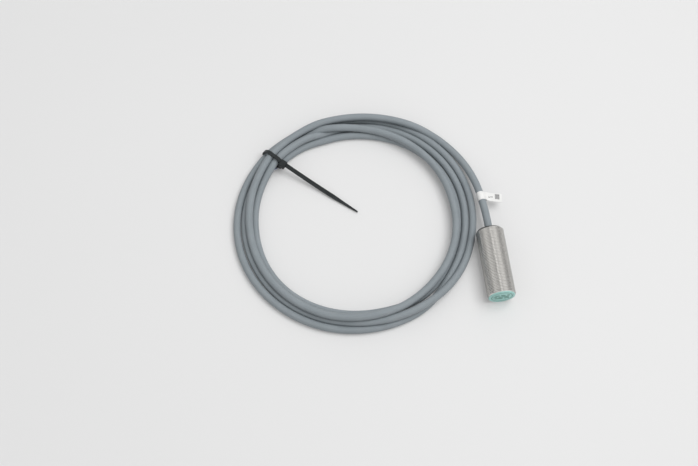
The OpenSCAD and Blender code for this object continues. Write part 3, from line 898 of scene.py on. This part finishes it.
def label_outlines():
    """The strip seen along the cable: its outside, and the hole that the cable fills."""
    flat = [float(x) for x in np.linspace(FLAG_L, FLAG_FROM, 17)]
    outer_r = WRAP_R + STOCK_T
    wrap = [(outer_r * math.cos(t), outer_r * math.sin(t))
            for t in np.radians(np.linspace(32, 328, 38))]
    outside = [(x, STOCK_T) for x in flat] + FLAG_FILLET + wrap
    outside += [(x, -z) for x, z in reversed(FLAG_FILLET)] + [(x, -STOCK_T) for x in reversed(flat)]
    hole = [(WRAP_R * math.cos(t), WRAP_R * math.sin(t))
            for t in np.linspace(0.35, 2 * math.pi - 0.35, 40)]
    return outside, [*hole, (3.0 * MM, 0.0)]


def make_label():
    """One strip of stock: round the cable, then stuck to itself as a flag."""
    axes = label_frame()
    rows = 14
    points, faces = [], []
    for outline in label_outlines():
        first = len(points)
        for r in range(rows + 1):
            across = LABEL_W * (r / rows - 0.5)
            for x, z in outline:
                place = flag_point(x, across, z) if x > WRAP_R else (x, across, z)
                points.append(placed(axes, place))
        grid = loop_faces(rows + 1, len(outline))
        faces.extend(tuple(first + v for v in face) for face in grid)
    made = new_object("flag_label_printed", points, faces, PAPER)
    work = bmesh.new()
    work.from_mesh(made.data)
    middle, ahead = axes[:2]
    rims = [e for e in work.edges if e.is_boundary]
    far = [e for e in rims if (sum((v.co for v in e.verts), Vector()) / 2 - middle).dot(ahead) > 0]
    near = [e for e in rims if e not in far]
    for rim in (far, near):
        bmesh.ops.triangle_fill(work, use_beauty=True, use_dissolve=False, edges=rim)
    put_back(work, made.data)
    sharpen(made, 45)
    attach(made, "root")
    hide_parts("flag_label")
    return made


def make_label_marks():
    """Generic marks: a row of short strokes and one hatched square."""
    axes = label_frame()
    points, faces = [], []

    def mark(x0, x1, y0, y1, steps=3):
        first = len(points)
        for i in range(steps + 1):
            x = x0 + (x1 - x0) * i / steps
            for y in (y0, y1):
                for lift in (STOCK_T - 0.01 * MM, STOCK_T + 0.012 * MM):
                    points.append(placed(axes, flag_point(x * MM, y * MM, lift)))
        for i in range(steps):
            a, b = first + 4 * i, first + 4 * i + 4
            faces.extend([(a, a + 1, b + 1, b), (a + 2, b + 2, b + 3, a + 3),
                          (a + 1, a + 3, b + 3, b + 1), (a, b, b + 2, a + 2)])
        z = first + 4 * steps
        faces.extend([(first, first + 2, first + 3, first + 1), (z, z + 1, z + 3, z + 2)])

    for x0, x1 in STROKES:
        low = STROKES_FROM + STROKE_SLOPE * x0
        mark(x0, x1, low, low + STROKE_WIDTH)
    inner, outer = SQUARE_OUT
    low, high = SQUARE_ACROSS
    for k in range(BARS):
        mark(inner, outer, low + BAR_PITCH * k, low + BAR_PITCH * k + BAR_WIDTH)
    mark(inner, inner + SQUARE_SIDE, low, high)
    mark(outer - SQUARE_SIDE, outer, low, high)
    made = new_object("label_marks", points, faces, INK, smooth=False)
    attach(made, "root")
    return made


label = make_label()
label_marks = make_label_marks()


# ---------------------------------------- stripped cores
CORE_R, BARE_R, CORE_SPREAD = 0.6 * MM, 0.38 * MM, 1.15 * MM
# Each core's colour, then its place in the hollow in mm: out from the coil's middle, and height
CORE_LANES = [("brown", 69.4, 0.62, BROWN), ("black", 68.2, 0.62, BLACK), ("blue", 68.8, 1.66, BLUE)]
# Degrees round the coil: the jacket's end, where the lanes begin, and the tips
CORE_FROM, LANE_FROM, CORE_TO = 135.6, 144.1, 173.5
# How far the jacket's end is from the coil's middle, in mm
CORE_EXIT_R = 65.3
LANE_STEPS, INSULATED_SHARE = 8, 0.88


def core_line(start, ahead, radius, height, phase):
    """A core's middle line: out of the jacket, down into its lane, and along it in small waves."""
    route = [start - ahead * 0.8 * MM, start + ahead * 1.2 * MM]
    for share in (0.25, 0.5, 0.75):
        soft = share * share * (3 - 2 * share)
        out = CORE_EXIT_R + (radius - CORE_EXIT_R) * soft
        place = polar(CORE_FROM + 5.5 * share + 1.8, out, height * soft)
        route.append(place + np.array((0, 0, start[2] * (1 - soft))))
    for i in range(LANE_STEPS + 1):
        angle = LANE_FROM + (CORE_TO - LANE_FROM) * i / LANE_STEPS
        route.append(polar(angle, radius + 0.12 * math.sin(2.1 * i + phase), height))
    return evenly(catmull(route, 6), CORE_STEP)


def make_end_cores():
    """Three cores that leave the jacket's end and run on in the hollow between two turns."""
    end, before = CABLE_PATH[-1], CABLE_PATH[-3]
    ahead = (end - before) / np.linalg.norm(end - before)
    side = np.cross(ahead, (0, 0, 1))
    side /= np.linalg.norm(side)
    made = []
    for k, (name, radius, height, material) in enumerate(CORE_LANES):
        turn = math.radians(30 + 120 * k)
        start = end + CORE_SPREAD * (side * math.cos(turn) + np.array((0, 0, 1)) * math.sin(turn))
        line = core_line(start, ahead, radius, height, k)
        cut = int(len(line) * INSULATED_SHARE)
        core = tube(f"end_core_{name}_insulated", line[:cut], CORE_R, 16, material, 0.00005)
        tip = tube(f"end_core_{name}_tinned", line[cut - 3:], BARE_R, 14, TINNED)
        for piece in (core, tip):
            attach(piece, "root")
        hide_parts(f"end_core_{name}")
        made += [core, tip]
    return made


end_cores = make_end_cores()


# ---------------------------------------- pieces inside the barrel
def finish_inner_pieces():
    """The CAD pieces inside the barrel keep their shapes and get their own materials."""
    rubber = plastic_material("seal_rubber", (0.012, 0.012, 0.012), (0.02, 0.02, 0.02), 0.55)
    chip = plastic_material("chip_epoxy", (0.014, 0.014, 0.015), (0.022, 0.022, 0.023), 0.58,
                            0.00002, 6000)
    inner = {
        "cap_seal_ring": rubber,
        "plug_seal_ring": rubber,
        "shield_ring": wire_material("shield_copper", (0.62, 0.30, 0.17), (0.75, 0.42, 0.27)),
        "ferrite_core": ceramic_material("ferrite", (0.05, 0.05, 0.055), (0.09, 0.09, 0.095)),
        "coil_bobbin": plastic_material("bobbin_plastic", (0.66, 0.60, 0.45), (0.74, 0.69, 0.55)),
        "coil_winding": wire_material("winding_enamel", (0.40, 0.11, 0.04), (0.60, 0.22, 0.09),
                                      0.8, 0.3, (300, 9000, 300)),
        "coil_leads": wire_material("lead_enamel", (0.45, 0.14, 0.05), (0.60, 0.24, 0.10), 0.8),
        "core_spacer": plastic_material("spacer_foam", (0.62, 0.62, 0.60), (0.74, 0.74, 0.72),
                                        0.85, 0.0001, 1800),
        "circuit_board": board_material(),
        "sensor_chip": chip,
        "output_transistor": chip,
        "protection_diode": chip,
        "capacitors": ceramic_material("capacitor_body", (0.36, 0.25, 0.15), (0.46, 0.33, 0.21)),
        "resistors": ceramic_material("resistor_body", (0.02, 0.02, 0.025), (0.05, 0.05, 0.055)),
        "indicator_led": plastic_material("led_lens", (0.80, 0.48, 0.08), (0.90, 0.60, 0.14), 0.15,
                                          0.000002, 2000, Transmission_Weight=0.5),
        "solder_joints": wire_material("solder", (0.50, 0.50, 0.51), (0.66, 0.66, 0.67), 1.0, 0.3),
        "board_sleeve": plastic_material("sleeve_film", (0.55, 0.55, 0.52), (0.64, 0.64, 0.61), 0.3),
        "core_brown": BROWN,
        "core_blue": BLUE,
        "core_black": BLACK,
        "jacket_end": plastic_material("jacket_inside", (0.222, 0.252, 0.270),
                                       (0.246, 0.277, 0.296), 0.5),
        "resin_plug": resin_material(),
        "pull_stop_ring": wire_material("stop_brass", (0.60, 0.44, 0.20), (0.72, 0.56, 0.30)),
    }
    for name, material in inner.items():
        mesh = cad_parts[name].data
        mesh.materials.clear()
        mesh.materials.append(material)


finish_inner_pieces()


# ---------------------------------------- floor and light
FLOOR_HALF, FLOOR_GREYS, FLOOR_GLOW = 12.0, (0.575, 0.589), 0.10
# The softbox up to the right: where it is and looks to, its width in metres, and its watts
KEY_PLACE, KEY_AIM = Vector((0.33, 0.06, 1.05)), Vector((-0.90, 0.02, 0))
KEY_SIZE, KEY_POWER = 0.8, 8.5


def make_floor():
    """A wide, plain, pale floor with a little light of its own."""
    n = Nodes("floor_paper")
    soft = n.noise(n.place(), 3, 2)
    low, high = ((grey, grey, grey) for grey in FLOOR_GREYS)
    n.set(Base_Color=n.mix(soft, low, high), Roughness=0.9, Specular_IOR_Level=0.1)
    n.set(Emission_Color=(1, 1, 1, 1), Emission_Strength=FLOOR_GLOW)
    corners = [(x * FLOOR_HALF, y * FLOOR_HALF, 0) for x, y in ((-1, -1), (1, -1), (1, 1), (-1, 1))]
    floor = new_object("floor", corners, [(0, 1, 2, 3)], n.made, smooth=False)


# Brightness of the room round the barrel's axis: degrees from straight up towards +X, level
ROOM = [(-180, 0.50), (-90, 0.45), (-78, 0.52), (-68, 0.85), (-58, 1.30), (-50, 1.50), (-42, 1.15),
        (-35, 1.00), (-27, 1.05), (-18, 0.70), (-6, 0.45), (-2, 2.3), (7, 2.3), (11, 0.45),
        (16, 0.70), (24, 1.65), (42, 1.70), (50, 1.45), (60, 0.90), (78, 0.55), (92, 0.65),
        (180, 0.50)]
# The panels' level, the level of the room's two ends, and how near the axis the ends begin
ROOM_LEVEL, ROOM_ENDS, ROOM_ENDS_FROM = 0.62, 0.66, 0.85


def make_room():
    """A pale room with panels of light that run along the barrel."""
    n = Nodes("studio", world=True)
    way = n.add("SeparateXYZ", {"Vector": n.add("TexCoord").outputs["Generated"]}).outputs
    angle = n.maths("ARCTAN2", way["X"], way["Z"])
    panels = n.add("FloatCurve", {"Value": n.remap(angle, -math.pi, math.pi)})
    brightest = max(level for _, level in ROOM)
    curve = panels.mapping.curves[0]
    while len(curve.points) < len(ROOM):
        curve.points.new(0.5, 0.5)
    for point, (degrees, level) in zip(curve.points, ROOM):
        point.location = (degrees / 360 + 0.5, level / brightest)
        point.handle_type = "VECTOR"
    panels.mapping.update()
    round_axis = n.maths("MULTIPLY", panels.outputs[0], brightest * ROOM_LEVEL)
    near_end = n.remap(n.maths("ABSOLUTE", way["Y"]), ROOM_ENDS_FROM, 1.0)
    blend = n.add("Mix", {"Factor": near_end, "A": round_axis, "B": ROOM_ENDS})
    n.set(Color=(1, 1, 1, 1), Strength=blend.outputs["Result"])
    bpy.context.scene.world = n.made


def make_key():
    """A softbox that lights the part from the right and isn't seen in its metal."""
    data = bpy.data.lights.new("key_softbox", "AREA")
    data.energy, data.size = KEY_POWER, KEY_SIZE
    key = bpy.data.objects.new("key_softbox", data)
    bpy.context.scene.collection.objects.link(key)
    key.location = KEY_PLACE
    key.rotation_mode = "QUATERNION"
    key.rotation_quaternion = (KEY_AIM - KEY_PLACE).to_track_quat("-Z", "Y")
    key.visible_glossy = False


def make_light():
    """The room and the softbox, seen with plain colours."""
    make_room()
    make_key()
    settings = bpy.context.scene.view_settings
    settings.view_transform, settings.look = "Standard", "None"


make_floor()
make_light()
